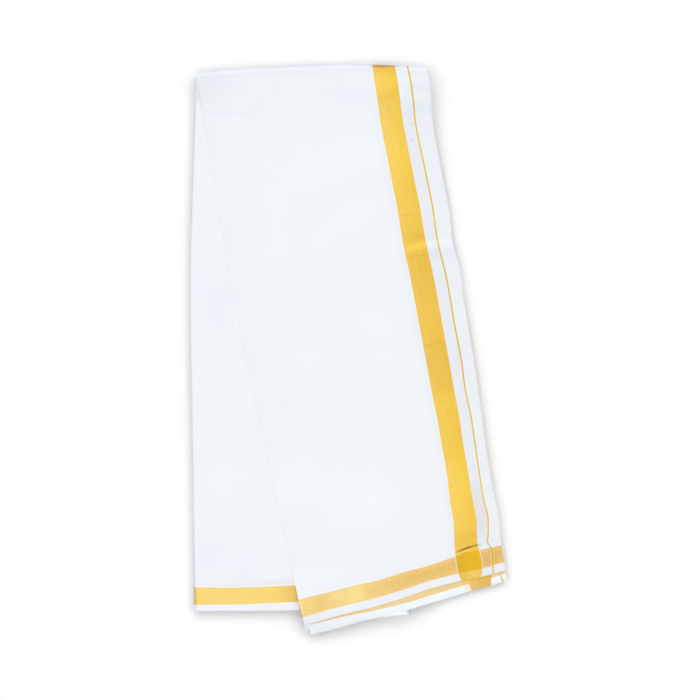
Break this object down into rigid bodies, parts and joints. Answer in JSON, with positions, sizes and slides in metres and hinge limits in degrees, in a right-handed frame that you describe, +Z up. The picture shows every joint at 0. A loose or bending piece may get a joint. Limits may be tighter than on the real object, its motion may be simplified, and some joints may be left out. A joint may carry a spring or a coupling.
{
  "type": "folded dhoti cloth",
  "caption": "Rectangular white cotton wrap cloth with woven gold borders, folded into a tall narrow stack, folded over at the top with the front half fanned sideways, lying flat.",
  "frame": {"origin": "centre of the plan outline, on the surface that the folded cloth lies on", "axes": "+Y along the leaves towards the top fold, +Z up out of the surface, +X towards the side that the front half is fanned to"},
  "size_m": [0.3668, 0.6604, 0.0116],
  "materials": {
    "outer_cotton": "matt plain-woven cotton with satin gold borders woven in",
    "second_cotton": "matt plain-woven cotton with satin gold borders woven in",
    "inner_cotton": "matt plain-woven cotton with a satin gold border woven in",
    "hidden_cotton": "matt plain-woven cotton, seen at its edges"
  },
  "bodies": {
    "root": {"outer_leaf": "outer_cotton", "second_leaf": "second_cotton", "inner_leaf": "inner_cotton", "folded_layers": "hidden_cotton"}
  },
  "joints": []
}
